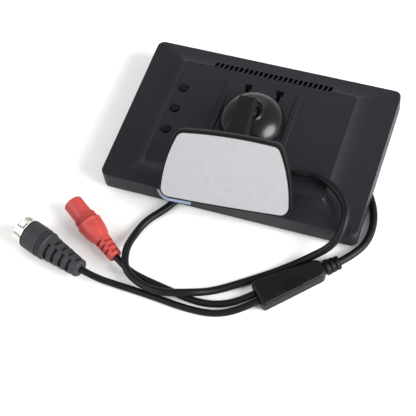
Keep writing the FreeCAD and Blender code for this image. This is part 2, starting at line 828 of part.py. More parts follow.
def bracket_screw_places():
    """Middles of the four screws round the ball's cup, from the dome's own middle."""
    circle = size("cup_radius") + 3.0
    return [(circle, 0), (0, circle), (-circle, 0), (0, -circle)]


def track_plate():
    """Round plate under the dome, with four T-shaped hooks that sit in the keyholes."""
    gap = size("track_gap")
    depth = size("track_depth")
    wall = size("case_wall")
    plate = Part.makeCylinder(size("dome_radius") - 0.2, depth, VECTOR(0, 0, gap))
    plate = plate.cut(Part.makeCylinder(size("mouth_radius") - 0.4, 4, VECTOR(0, 0, -1)))
    base = dome_foot()
    half = size("hook_length") / 2
    foot_top = -wall - 0.15
    foot_low = foot_top - 1.2
    for x, y in keyhole_places():
        x -= base.x
        y -= base.y
        stem = size("hook_stem") / 2
        foot = size("hook_foot") / 2
        plate = plate.fuse(box_between((x - stem, y - half, foot_low), (x + stem, y + half, gap + 0.5)))
        plate = plate.fuse(box_between((x - foot, y - half, foot_low), (x + foot, y + half, foot_top)))
    for x, y in bracket_screw_places():
        seat = Part.makeCone(2.0, 1.1, 0.9, VECTOR(x, y, gap))
        plate = plate.cut(seat).cut(Part.makeCylinder(1.1, 4, VECTOR(x, y, 0)))
    keep("track_plate", solid("track", plate.removeSplitter(), FreeCAD.Placement(base, FreeCAD.Rotation())))


def bracket_screws():
    """Countersunk screws that hold the track plate in the dome."""
    gap = size("track_gap")
    base = dome_foot()
    copies = []
    for x, y in bracket_screw_places():
        head = Part.makeCone(1.95, 1.0, 0.9, VECTOR(x, y, gap))
        shank = Part.makeCylinder(1.0, size("track_depth") + 3.4, VECTOR(x, y, gap))
        copies.append(head.fuse(shank).removeSplitter())
    placement = FreeCAD.Placement(base, FreeCAD.Rotation())
    keep("bracket_screws", solid("bracket_screw_group", Part.makeCompound(copies), placement))


def ball_middle():
    foot = dome_foot()
    return VECTOR(foot.x, foot.y, foot.z + ball_rise())


def ball_and_cup():
    """The ball, its cup, and the wave washer that presses the cup up."""
    middle = ball_middle()
    placement = FreeCAD.Placement(middle, FreeCAD.Rotation())
    ball = Part.makeSphere(size("ball_radius"))
    bore = Part.makeCylinder(size("neck_radius") + 0.05, 20, VECTOR(0, 0, -2))
    keep("ball", solid("ball_body", ball.cut(bore), placement))
    cup = Part.makeCylinder(size("cup_radius"), size("cup_depth"), VECTOR(0, 0, -size("cup_depth")))
    cup = cup.cut(Part.makeSphere(size("ball_radius") + size("ball_gap")))
    keep("socket_cup", solid("cup_body", cup, placement))
    washer_foot = size("track_gap") + size("track_depth")
    washer_top = ball_rise() - size("cup_depth")
    height = washer_top - washer_foot
    washer = Part.makeCylinder(size("cup_radius") - 0.3, height, VECTOR(0, 0, washer_foot))
    washer = washer.cut(Part.makeCylinder(size("cup_radius") - 2.6, 9, VECTOR(0, 0, 0)))
    keep("wave_washer", solid("washer", washer, FreeCAD.Placement(dome_foot(), FreeCAD.Rotation())))


def plate_placement():
    """Own frame of the base plate: XY in the sticking face, +Z out of it."""
    middle = VECTOR(0, -size("plate_reach"), size("plate_rise"))
    lean = FreeCAD.Rotation(VECTOR(1, 0, 0), size("plate_lean"))
    twist = FreeCAD.Rotation(UP, size("plate_twist"))
    return stand_placement().multiply(FreeCAD.Placement(middle, lean.multiply(twist)))


def stand_placement():
    """Own frame of the arm: origin in the middle of the ball, turned with the stand."""
    return FreeCAD.Placement(ball_middle(), FreeCAD.Rotation(UP, size("stand_swivel")))


def pad_outline(grow, z):
    """Outline of the pad: four bowed sides with rounded corners, grown all round."""
    half_top = size("pad_top_width") / 2 + grow
    half_foot = size("pad_foot_width") / 2 + grow
    half = size("pad_length") / 2 + grow
    bow = size("pad_bulge")
    corners = [
        VECTOR(half_top, half, z),
        VECTOR(-half_top, half, z),
        VECTOR(-half_foot, -half, z),
        VECTOR(half_foot, -half, z),
    ]
    bows = [
        VECTOR(0, half + 0.6 * bow, z),
        VECTOR(-(half_top + half_foot) / 2 - bow, -0.12 * bow, z),
        VECTOR(0, -half - 0.2 * bow, z),
        VECTOR((half_top + half_foot) / 2 + bow, -0.12 * bow, z),
    ]
    edges = []
    for start, middle, end in zip(corners, bows, corners[1:] + corners[:1]):
        edges.append(Part.Arc(start, middle, end).toShape())
    return Part.Wire(edges)


def pad_slab(grow, low, high):
    """A slab with the pad's outline, between two heights in the base plate's own frame."""
    shape = Part.Face(pad_outline(grow, low)).extrude(VECTOR(0, 0, high - low))
    boxes = [(edge, edge.BoundBox) for edge in shape.Edges]
    uprights = [edge for edge, box in boxes if box.ZLength > 0.99 * (high - low) and box.XLength < 1e-6]
    return shape.makeFillet(size("pad_corner") + grow, uprights)


def pad_floor():
    return -size("liner_depth") - size("pad_depth")


def plate_screw_places():
    return [(side * size("arm_foot_width") / 6, -0.5) for side in (-1, 1)]


def base_plate():
    """The base plate, its foam pad, the liner over it, the film tab and two screws."""
    placement = plate_placement()
    floor = pad_floor()
    back = floor - size("plate_depth")
    plate = pad_slab(size("plate_rim"), back, floor)
    rim = [edge for edge in plate.Edges if edge.BoundBox.ZMin > floor - 1e-6]
    plate = plate.makeFillet(0.6, rim)
    screws = []
    for x, y in plate_screw_places():
        plate = plate.cut(Part.makeCone(1.5, 3.0, 1.5, VECTOR(x, y, floor - 1.5)))
        plate = plate.cut(Part.makeCylinder(1.5, size("plate_depth"), VECTOR(x, y, back)))
        head = Part.makeCone(1.3, 2.8, 1.5, VECTOR(x, y, floor - 1.5))
        shank = Part.makeCylinder(1.3, size("plate_depth") + 4, VECTOR(x, y, back - 4))
        screws.append(head.fuse(shank).removeSplitter())
    keep("base_plate", solid("plate_body", plate, placement))
    keep("plate_screws", solid("plate_screw_group", Part.makeCompound(screws), placement))
    keep("adhesive_pad", solid("pad_body", pad_slab(0, floor, -size("liner_depth")), placement))
    keep("release_liner", solid("liner_body", pad_slab(0, -size("liner_depth"), 0), placement))
    ring = pad_slab(size("plate_rim") + size("tab_reach"), floor - 1.3, floor - 1.0)
    ring = ring.cut(pad_slab(size("plate_rim"), floor - 2, floor))
    half = size("pad_foot_width") / 2
    low = -size("pad_length") / 2 - 9
    corner = box_between((-half - 9, low, back), (-half + 17, low + 11, floor))
    keep("pull_tab", solid("tab_body", ring.common(corner), placement))


def arm_plan(half_tip, half_foot, tip, end, z):
    """Outline of the arm seen from above, at one height. Its middle line lies to one side of the neck."""
    near = -size("arm_aside")
    far = -size("arm_foot_aside")
    corners = [VECTOR(near + half_tip, tip, z), VECTOR(near - half_tip, tip, z)]
    corners += [VECTOR(far - half_foot, end, z), VECTOR(far + half_foot, end, z)]
    return Part.makePolygon(corners + corners[:1])


def arm():
    """The arm: a neck in the ball, a flat tongue over the dome, and a flare to the base plate."""
    lean = math.radians(size("plate_lean"))
    back = pad_floor() - size("plate_depth")
    foot_y = -size("plate_reach") - back * math.sin(lean)
    foot_z = size("plate_rise") + back * math.cos(lean)
    top = size("arm_top")
    under = top - size("arm_depth")
    foot_under = under - 5.8

    def plate_y(z):
        """Y of the base plate's back at a height over the ball's middle."""
        return foot_y + (z - foot_z) / math.tan(lean)

    tip = size("arm_tip")
    knee = -1.1 * size("ball_radius")
    end = plate_y(foot_under)
    bevel = 0.8
    side = [(tip - bevel, top), (plate_y(top), top), (end, foot_under), (knee, under), (tip, under)]
    side.append((tip, top - bevel))
    corners = [VECTOR(-30, y, z) for y, z in side]
    profile = Part.Face(Part.makePolygon(corners + corners[:1])).extrude(VECTOR(60, 0, 0))
    half_tip = size("arm_tip_width") / 2
    draft = size("arm_draft") * (top - foot_under) / size("arm_depth")
    upper = arm_plan(half_tip, size("arm_top_width") / 2, tip, end, top)
    lower = arm_plan(half_tip + draft, size("arm_foot_width") / 2, tip, end, foot_under)
    body = profile.common(Part.makeLoft([lower, upper], True, True))
    neck = Part.makeCylinder(size("neck_radius"), under + 3, VECTOR(0, 0, -1.5))
    body = body.fuse(neck)
    placement = stand_placement().inverse().multiply(plate_placement())
    for x, y in plate_screw_places():
        drill = Part.makeCylinder(1.32, 6, VECTOR(x, y, back - 4.2))
        drill.Placement = placement
        body = body.cut(drill)
    keep("arm", solid("arm_body", body.removeSplitter(), stand_placement()))


def tube_along(route, diameter):
    """A tube of straight runs joined by tangent arcs, each as large as its two runs allow."""
    points = [VECTOR(*point) for point in route]
    edges = []
    radii = []
    start = points[0]
    for before, corner, after in zip(points, points[1:], points[2:]):
        inward = (corner - before).normalize()
        outward = (after - corner).normalize()
        turn = inward.getAngle(outward)
        setback = 0.45 * min((corner - before).Length, (after - corner).Length)
        radius = setback / math.tan(turn / 2)
        radii.append(radius)
        bend_start = corner - inward * setback
        bend_end = corner + outward * setback
        bisector = (outward - inward).normalize()
        centre = corner + bisector * math.hypot(radius, setback)
        bend_middle = centre - bisector * radius
        edges.append(Part.LineSegment(start, bend_start).toShape())
        edges.append(Part.Arc(bend_start, bend_middle, bend_end).toShape())
        start = bend_end
    edges.append(Part.LineSegment(start, points[-1]).toShape())
    path = Part.Wire(edges)
    ring = Part.Wire(Part.Circle(points[0], points[1] - points[0], diameter / 2).toShape())
    tube = path.makePipeShell([ring], True, True)
    expected = math.pi * diameter**2 / 4 * path.Length
    if abs(tube.Volume - expected) > 0.01 * expected:
        raise RuntimeError(f"a tube's volume is {tube.Volume:.0f} and not {expected:.0f}")
    return tube, radii


def report(node, route, diameter, radii):
    length = sum((VECTOR(*b) - VECTOR(*a)).Length for a, b in zip(route, route[1:]))
    smallest = min(radii) / diameter
    print(f"{node}: runs {length:.0f} mm, radii", [round(radius) for radius in radii])
    print(f"{node}: smallest radius is {smallest:.1f} diameters")


def halfway(first, second):
    return tuple((a + b) / 2 for a, b in zip(first, second))


def boot_end():
    """Where the lead enters the boot of the splitter."""
    reach = size("splitter_length") + size("splitter_boot") + END_GAP
    turn = math.radians(SPLITTER_TURN)
    x, y = SPLITTER_FOOT
    return (x + reach * math.cos(turn), y + reach * math.sin(turn), size("splitter_depth") / 2 + 0.1)


def lead():
    """The lead in three stretches: the loop, the stretch under the case, and the end at the splitter."""
    diameter = size("lead_diameter")
    route = LEAD_ROUTE + [boot_end()]
    first = halfway(route[UNDER_START], route[UNDER_START + 1])
    last = halfway(route[UNDER_END], route[UNDER_END + 1])
    stretches = {
        "lead_loop": route[: UNDER_START + 1] + [first],
        "lead_under": [first] + route[UNDER_START + 1 : UNDER_END + 1] + [last],
        "lead_right": [last] + route[UNDER_END + 1 :],
    }
    for node, stretch in stretches.items():
        tube, radii = tube_along(stretch, diameter)
        report(node, stretch, diameter, radii)
        keep(node, solid(f"{node}_tube", tube))


def splitter_placement():
    x, y = SPLITTER_FOOT
    return FreeCAD.Placement(VECTOR(x, y, 0.1), FreeCAD.Rotation(UP, SPLITTER_TURN))


def tail_start(side):
    """Where a tail enters the splitter: +1 is the power tail, -1 is the video tail."""
    middle = VECTOR(-END_GAP, side * size("tail_spacing") / 2, size("splitter_depth") / 2)
    return tuple(splitter_placement().multVec(middle))


def splitter():
    """Flat Y moulding with rounded edges, and its boot on the lead."""
    half_foot = size("splitter_width") / 2
    half_neck = size("splitter_neck") / 2
    length = size("splitter_length")
    depth = size("splitter_depth")
    corners = [VECTOR(0, -half_foot, 0), VECTOR(length, -half_neck, 0), VECTOR(length, half_neck, 0)]
    corners.append(VECTOR(0, half_foot, 0))
    body = Part.Face(Part.makePolygon(corners + corners[:1])).extrude(VECTOR(0, 0, depth))
    boxes = [(edge, edge.BoundBox) for edge in body.Edges]
    at_neck = [edge for edge, box in boxes if box.XMin > length - 1e-6 and box.ZLength > 1]
    body = body.makeFillet(0.8 * half_neck, at_neck)
    body = body.makeFillet(1.8, body.Edges)
    keep("splitter_body", solid("splitter_shell", body, splitter_placement()))
    radius = size("lead_diameter") / 2
    reach = size("splitter_boot")
    step = reach / 3
    rings = [(0, 0)]
    for ring in range(3):
        outer = size("boot_radius") - 0.25 * ring
        groove = outer - 1.1
        z = ring * step
        rings += [(groove, z), (groove, z + 0.3 * step), (outer, z + 0.3 * step), (outer, z + step)]
    rings += [(radius, reach), (0, reach)]
    start = splitter_placement().multVec(VECTOR(length, 0, depth / 2))
    end = splitter_placement().multVec(VECTOR(length + reach, 0, depth / 2))
    keep("splitter_boot", solid("boot", revolve(rings), along(start, end)))


def tail_end(front, back):
    """Where a tail leaves its connector, just clear of the moulding's rear face."""
    return tuple(back + (back - front).normalize() * END_GAP)


def tails():
    diameter = size("tail_diameter")
    routes = {
        "video_tail": [tail_end(VIDEO_FRONT, VIDEO_BACK)] + VIDEO_ROUTE + [tail_start(-1)],
        "power_tail": [tail_end(POWER_FRONT, POWER_BACK)] + POWER_ROUTE + [tail_start(1)],
    }
    for node, route in routes.items():
        tube, radii = tube_along(route, diameter)
        report(node, route, diameter, radii)
        keep(node, solid(f"{node}_tube", tube))


def arc_slots(start, end, rows, radius_at, depth):
    """Short slots part of the way round a moulding: four columns, alternate ones half a step along."""
    pitch = (end - start) / rows
    width = 0.42 * pitch
    slots = []
    for column in range(4):
        shift = start + (column % 2) * pitch / 2
        for row in range(rows):
            low = shift + row * pitch
            high = low + width
            inner = radius_at(high) - depth
            outer = radius_at(low) + 1
            section = ((inner, low), (outer, low), (outer, high), (inner, high), (inner, low))
            face = Part.Face(Part.makePolygon([VECTOR(r, 0, z) for r, z in section]))
            face.rotate(VECTOR(0, 0, 0), UP, SLOT_TURN + 90 * column)
            slots.append(face.revolve(VECTOR(0, 0, 0), UP, SLOT_ARC))
    return Part.makeCompound(slots)


def relief(start, start_radius, end, end_radius, rows, depth):
    """The outline of a tapering, blunt-ended relief from its start on, and the slots to cut in it."""
    outline = [(start_radius, start), (end_radius, end - 0.7), (end_radius - 0.7, end), (0, end)]

    def radius_at(z):
        return start_radius + (end_radius - start_radius) * (z - start) / (end - start)

    margin = 1.6
    return outline, arc_slots(start + margin, end - margin, rows, radius_at, depth)


def fine_rings(start, count, pitch, outer, inner):
    """Outline of close narrow rings with grooves between them."""
    outline = []
    for ring in range(count):
        z = start + ring * pitch
        outline += [(inner, z), (inner, z + 0.35 * pitch), (outer, z + 0.35 * pitch), (outer, z + pitch)]
    return outline


def video_connector():
    """Four-pin screw connector: moulding, nickel ring, insulator and pins."""
    axis = along(VIDEO_FRONT, VIDEO_BACK)
    length = (VIDEO_BACK - VIDEO_FRONT).Length
    thread = size("thread_radius")
    bore = size("shell_bore")
    flange = size("thread_length") + size("ring_flange")
    shell = size("shell_length")
    tube = bore + 0.7
    outline = [(bore, 0), (thread - 0.5, 0), (thread, 0.5), (thread, size("thread_length"))]
    outline += [(thread + 0.5, size("thread_length")), (thread + 0.5, flange)]
    outline += [(tube, flange), (tube, shell), (bore, shell)]
    keep("video_ring", solid("ring", revolve(outline), axis))
    recess = size("insert_recess")
    insert = Part.makeCylinder(bore, shell - recess, VECTOR(0, 0, recess))
    circle = size("pin_circle")
    pin = size("pin_radius")
    tip = 1.5
    pins = []
    for turn in range(4):
        angle = math.radians(45 + 90 * turn)
        x = circle * math.cos(angle)
        y = circle * math.sin(angle)
        insert = insert.cut(Part.makeCylinder(pin, shell, VECTOR(x, y, recess - 1)))
        pins.append(Part.makeCylinder(pin, shell - tip, VECTOR(x, y, tip)))
    keep("video_insert", solid("insert", insert, axis))
    keep("video_pins", solid("pin_group", Part.makeCompound(pins), axis))
    radius = size("moulding_radius")
    outline = [(0, shell), (tube, shell), (tube, flange), (radius - 0.6, flange), (radius, flange + 0.6)]
    outline += [(radius, 16.4)] + fine_rings(16.4, 3, 1.3, radius - 0.2, radius - 0.9)
    cone, slots = relief(21.0, 7.6, length, 5.2, 4, 1.6)
    moulding = revolve(outline + cone).cut(slots)
    keep("video_body", solid("video_moulding", moulding, axis))


def power_jack():
    """Red barrel jack: moulding, sleeve contact and pin."""
    axis = along(POWER_FRONT, POWER_BACK)
    length = (POWER_BACK - POWER_FRONT).Length
    nose = size("jack_radius")
    collar = size("jack_collar")
    bore = size("jack_bore")
    depth = 10.0
    outline = [(0, depth), (bore, depth), (bore, 0), (nose - 0.4, 0), (nose, 0.4), (nose, 12.0)]
    outline += fine_rings(12.0, 4, 1.15, nose + 0.8, nose + 0.2)
    outline += [(collar - 0.3, 16.6), (collar, 16.9), (collar, 18.0), (collar - 0.3, 18.3)]
    outline += [(collar - 0.4, 21.0), (collar - 0.7, 23.5), (collar - 1.3, 26.0), (collar - 2.1, 28.0)]
    cone, slots = relief(29.2, 4.7, length, 3.9, 3, 1.2)
    moulding = revolve(outline + cone).cut(slots)
    keep("power_body", solid("power_moulding", moulding, axis))
    sleeve = Part.makeCylinder(bore, depth - 1, VECTOR(0, 0, 1))
    sleeve = sleeve.cut(Part.makeCylinder(bore - 0.45, depth + 2, VECTOR(0, 0, 0)))
    keep("power_sleeve", solid("sleeve", sleeve, axis))
    pin = Part.makeCylinder(size("jack_pin"), depth - 2, VECTOR(0, 0, 2))
    keep("power_pin", solid("pin", pin, axis))


def check_and_write():
    """Stop on any failed object, then write each sub-part."""
    doc.recompute()
    for item in doc.Objects:
        if {"Invalid", "Error"} & set(item.State):
            raise RuntimeError(f"{item.Label} failed: {item.State}")
    os.makedirs("parts", exist_ok=True)
    for node, item in nodes.items():
        shape = item.Shape
        if shape.isNull() or not shape.isValid() or not shape.Solids:
            raise RuntimeError(f"{node} has no valid solid")
        shape.exportStep(f"parts/{node}.step")
    print(len(nodes), "sub-parts written")


fill_sheet()
front_bezel()
display()
main_board()
board_chips()
button_board()
rear_cover()
board_screws()
buttons()
relief_and_inner_lead()
dome_cover()
track_plate()
bracket_screws()
ball_and_cup()
base_plate()
arm()
lead()
splitter()
tails()
video_connector()
power_jack()
check_and_write()
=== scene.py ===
import math

import bmesh
import bpy
from bpy.props import FloatProperty, FloatVectorProperty, IntProperty, PointerProperty
from mathutils import Matrix, Vector


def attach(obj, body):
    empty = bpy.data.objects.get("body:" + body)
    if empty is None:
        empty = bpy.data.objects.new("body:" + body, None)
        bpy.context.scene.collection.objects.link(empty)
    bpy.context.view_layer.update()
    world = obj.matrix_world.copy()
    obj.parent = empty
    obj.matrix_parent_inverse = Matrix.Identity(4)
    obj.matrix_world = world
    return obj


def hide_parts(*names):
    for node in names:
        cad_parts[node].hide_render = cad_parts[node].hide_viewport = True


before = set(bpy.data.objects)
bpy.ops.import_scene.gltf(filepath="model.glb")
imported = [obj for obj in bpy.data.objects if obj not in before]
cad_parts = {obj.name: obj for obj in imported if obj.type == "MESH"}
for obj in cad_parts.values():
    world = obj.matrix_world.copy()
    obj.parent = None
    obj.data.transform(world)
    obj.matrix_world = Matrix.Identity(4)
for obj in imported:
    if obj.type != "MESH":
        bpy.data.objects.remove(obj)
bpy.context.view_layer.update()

bl_info = {
    "name": "Backup Monitor",
    "version": (1, 0, 0),
    "blender": (4, 5, 0),
    "location": "View3D > Sidebar > Monitor",
    "description": "Finishes a rear-view monitor, its ball stand and its split lead around the packed frame",
    "category": "Object",
}

# Routes in metres: the same points as the solids of the lead and of the two tails.
LEAD_ROUTE = [
    (0.0240, -0.0225, 0.0268),
    (0.0345, -0.0219, 0.0264),
    (0.0435, -0.0196, 0.0260),
    (0.0545, -0.0234, 0.0256),
    (0.0645, -0.0315, 0.0244),
    (0.0682, -0.0425, 0.0228),
    (0.0648, -0.0540, 0.0150),
    (0.0525, -0.0603, 0.0056),
    (0.0388, -0.0706, 0.0023),
    (0.0240, -0.0816, 0.0022),
    (0.0080, -0.0930, 0.0024),
    (-0.0035, -0.0998, 0.0074),
    (-0.0175, -0.1040, 0.0074),
    (-0.0310, -0.1015, 0.0050),
    (-0.0418, -0.0966, 0.0078),
    (-0.0456, -0.0852, 0.0090),
    (-0.0463, -0.0725, 0.0030),
    (-0.0432, -0.0608, 0.0022),
    (-0.0352, -0.0505, 0.00215),
    (-0.0290, -0.0390, 0.00215),
    (-0.0265, -0.0235, 0.00215),
    (-0.0305, -0.0070, 0.00215),
    (-0.0295, 0.0110, 0.00215),
    (-0.0170, 0.0250, 0.00215),
    (0.0030, 0.0315, 0.00215),
    (0.0250, 0.0285, 0.00215),
    (0.0450, 0.0180, 0.00215),
    (0.0610, 0.0050, 0.00215),
    (0.0725, -0.0085, 0.00215),
    (0.0795, -0.0225, 0.00215),
    (0.0805, -0.0375, 0.0024),
    (0.0760, -0.0496, 0.00415),
    (0.06862, -0.05768, 0.0044),
]
VIDEO_ROUTE = [
    (-0.06506, -0.10335, 0.0083),
    (-0.0560, -0.1053, 0.0069),
    (-0.0420, -0.1039, 0.0020),
    (-0.0210, -0.1051, 0.0020),
    (-0.0040, -0.1068, 0.0020),
    (0.0123, -0.1060, 0.0020),
    (0.0249, -0.1004, 0.0030),
    (0.03373, -0.09231, 0.0044),
]
POWER_ROUTE = [
    (-0.04998, -0.08928, 0.00539),
    (-0.0420, -0.0941, 0.0036),
    (-0.0315, -0.0962, 0.0020),
    (-0.0165, -0.0986, 0.0020),
    (-0.0025, -0.1012, 0.0020),
    (0.0105, -0.1006, 0.0020),
    (0.0227, -0.0957, 0.0030),
    (0.03065, -0.08889, 0.0044),
]

# The splitter: where its tail end stands, and the ribs and the painted shade of the pits on its upper face.
SPLITTER_FOOT = Vector((0.0323, -0.0905, 0.0001))
SPLITTER_TURN = math.radians(42.1)
SPLITTER_DEPTH = 0.0086
RIBS_START = (0.0155, -0.0031)
RIB_PITCH = 0.00145
RIB_WIDTH = 0.00065
RIB_LENGTH = 0.0062
RIB_HEIGHT = 0.0006
PIT_PLACES = [(0.0152, -0.0046), (0.0200, -0.0056), (0.0264, -0.0042)]
PIT_RADIUS = 0.0004
PIT_TAPER = 0.7
PIT_THICKNESS = 0.00012
PIT_LIFT = 0.00004

# The video connector: the ends of its axis, and the thread on its ring.
VIDEO_FRONT = Vector((-0.1071, -0.0885, 0.0089))
VIDEO_BACK = Vector((-0.0652, -0.1033, 0.0083))
THREAD_RADIUS = 0.00785
THREAD_DEPTH = 0.0003
THREAD_START = 0.00045

# Rounded edges: points nearer than WELD are merged, and faces flatter than FLAT are joined, before the bevel.
WELD = 2e-6
FLAT = math.radians(0.4)
EDGE_SEGMENTS = 2
SMOOTH = math.radians(35.0)

# The camera aims past the middle of the case, by these amounts across and up its view.
CASE_MIDDLE = Vector((0, 0.00375, 0.0043))
VIEW_ASIDE = 0.02644
VIEW_DOWN = 0.03682
VIEW_DISTANCE = 0.697657

# The studio: a floor just under the lowest point, a white sky and three round lights.
FLOOR_HALF = 3.0
FLOOR_DROP = 0.0002
SKY_STRENGTH = 0.52
LIGHT_AIM = Vector((0, 0, 0.02))
LIGHTS = [
    # name, place in metres, width in metres, power in watts
    ("key light", (0.95, -0.15, 0.5), 0.8, 24.0),
    ("fill light", (-0.8, -0.6, 0.75), 0.9, 9.0),
    ("back light", (-0.2, 0.95, 0.6), 0.8, 1.2),
]


class CaseSettings(bpy.types.PropertyGroup):
    colour: FloatVectorProperty(
        name="Case colour", description="Moulded plastic of the case", subtype="COLOR",
        default=(0.0094, 0.0106, 0.0142), min=0.0, max=1.0,
    )
    edge: FloatProperty(
        name="Edge radius", description="Rounding of the moulded edges", unit="LENGTH", subtype="DISTANCE",
        default=0.00025, precision=5,
    )
    grain: FloatProperty(name="Grain depth", description="Strength of the spark texture", default=0.25)


class StandSettings(bpy.types.PropertyGroup):
    dome_colour: FloatVectorProperty(
        name="Dome colour", description="Polished plastic of the dome", subtype="COLOR",
        default=(0.004, 0.004, 0.0045), min=0.0, max=1.0,
    )
    colour: FloatVectorProperty(
        name="Stand colour", description="Moulded plastic of the arm and base plate", subtype="COLOR",
        default=(0.0045, 0.0048, 0.0050), min=0.0, max=1.0,
    )
    liner: FloatVectorProperty(
        name="Liner colour", description="Waxed paper on the sticking face", subtype="COLOR",
        default=(0.335, 0.339, 0.35), min=0.0, max=1.0,
    )
    film: FloatVectorProperty(
        name="Tab colour", description="Film of the pull tab", subtype="COLOR",
        default=(0.22, 0.28, 0.37), min=0.0, max=1.0,
    )


class CordSettings(bpy.types.PropertyGroup):
    lead: FloatProperty(
        name="Lead diameter", description="Outside diameter of the lead", unit="LENGTH", subtype="DISTANCE",
        default=0.0043, precision=4,
    )
    tail: FloatProperty(
        name="Tail diameter", description="Outside diameter of the two tails", unit="LENGTH",
        subtype="DISTANCE", default=0.0039, precision=4,
    )
    black: FloatVectorProperty(
        name="Black sheath", description="Vinyl of the lead", subtype="COLOR",
        default=(0.0022, 0.0025, 0.0032), min=0.0, max=1.0,
    )
    rubber: FloatVectorProperty(
        name="Connector rubber", description="Matte moulding of the screw connector", subtype="COLOR",
        default=(0.024, 0.025, 0.028), min=0.0, max=1.0,
    )
    red: FloatVectorProperty(
        name="Red vinyl", description="Vinyl of the power jack", subtype="COLOR",
        default=(0.39, 0.048, 0.043), min=0.0, max=1.0,
    )


class ConnectorSettings(bpy.types.PropertyGroup):
    turns: IntProperty(name="Thread turns", description="Turns of the ring's thread", default=5, min=1)
    pitch: FloatProperty(
        name="Thread pitch", description="Rise of one turn", unit="LENGTH", subtype="DISTANCE",
        default=0.00082, precision=5,
    )
    ribs: IntProperty(name="Grip ribs", description="Ribs across the splitter", default=7, min=2)


class StageSettings(bpy.types.PropertyGroup):
    azimuth: FloatProperty(
        name="Azimuth", description="Turn of the camera round the part", subtype="ANGLE",
        default=math.radians(27.146),
    )
    elevation: FloatProperty(
        name="Elevation", description="Height angle of the camera", subtype="ANGLE",
        default=math.radians(57.909),
    )
    roll: FloatProperty(
        name="Roll", description="Tilt of the horizon", subtype="ANGLE", default=math.radians(-9.605),
    )
    lens: FloatProperty(name="Lens", description="Focal length in millimetres", default=103.85)
    floor: FloatVectorProperty(
        name="Floor colour", description="Plain pale floor", subtype="COLOR",
        default=(0.93, 0.93, 0.93), min=0.0, max=1.0,
    )


# ---------------------------------------------------------------- shader helpers


def add_node(tree, kind, **values):
    """Make a node; each value sets or links the input of that name, or else a property of the node."""
    node = tree.nodes.new(kind)
    for key, value in values.items():
        name = key.replace("_", " ")
        socket = node.inputs.get(name)
        if socket is None:
            setattr(node, key, value)
        elif isinstance(value, bpy.types.NodeSocket):
            tree.links.new(value, socket)
        else:
            socket.default_value = value
    return node


def new_group(name, inputs, outputs):
    """A shader node group with float or colour sockets."""
    group = bpy.data.node_groups.new(name, "ShaderNodeTree")
    for label, kind, value in inputs:
        socket = group.interface.new_socket(name=label, in_out="INPUT", socket_type=kind)
        socket.default_value = value
    for label, kind in outputs:
        group.interface.new_socket(name=label, in_out="OUTPUT", socket_type=kind)
    return group, group.nodes.new("NodeGroupInput"), group.nodes.new("NodeGroupOutput")


def surface_group():
    """Moulded surface: fine spark grain, soft cloudiness, and faint rubbed patches."""
    group, given, result = new_group(
        "Moulded Surface",
        [
            ("Colour", "NodeSocketColor", (0.1, 0.1, 0.1, 1)),
            ("Grain Scale", "NodeSocketFloat", 4000.0),
            ("Cloud Scale", "NodeSocketFloat", 60.0),
            ("Cloud", "NodeSocketFloat", 0.15),
            ("Roughness", "NodeSocketFloat", 0.5),
            ("Roughness Range", "NodeSocketFloat", 0.12),
        ],
        [
            ("Colour", "NodeSocketColor"),
            ("Roughness", "NodeSocketFloat"),
            ("Height", "NodeSocketFloat"),
        ],
    )
    where = add_node(group, "ShaderNodeTexCoord").outputs["Object"]
    grain = add_node(
        group, "ShaderNodeTexNoise", Vector=where, Scale=given.outputs["Grain Scale"],
        Detail=3.0, Roughness=0.6,
    )
    cloud = add_node(
        group, "ShaderNodeTexNoise", Vector=where, Scale=given.outputs["Cloud Scale"],
        Detail=4.0, Roughness=0.55,
    )
    rub = add_node(group, "ShaderNodeTexNoise", Vector=where, Scale=210.0, Detail=6.0, Roughness=0.7)
    centred = add_node(group, "ShaderNodeMath", operation="SUBTRACT")
    group.links.new(cloud.outputs["Fac"], centred.inputs[0])
    centred.inputs[1].default_value = 0.5
    spread = add_node(group, "ShaderNodeMath", operation="MULTIPLY_ADD")
    group.links.new(centred.outputs[0], spread.inputs[0])
    group.links.new(given.outputs["Cloud"], spread.inputs[1])
    spread.inputs[2].default_value = 1.0
    tint = add_node(group, "ShaderNodeVectorMath", operation="SCALE")
    group.links.new(given.outputs["Colour"], tint.inputs[0])
    group.links.new(spread.outputs[0], tint.inputs["Scale"])
    group.links.new(tint.outputs[0], result.inputs["Colour"])
    rough = add_node(group, "ShaderNodeMath", operation="MULTIPLY_ADD")
    offset = add_node(group, "ShaderNodeMath", operation="SUBTRACT")
    group.links.new(rub.outputs["Fac"], offset.inputs[0])
    offset.inputs[1].default_value = 0.5
    group.links.new(offset.outputs[0], rough.inputs[0])
    group.links.new(given.outputs["Roughness Range"], rough.inputs[1])
    group.links.new(given.outputs["Roughness"], rough.inputs[2])
    group.links.new(rough.outputs[0], result.inputs["Roughness"])
    group.links.new(grain.outputs["Fac"], result.inputs["Height"])
    return group


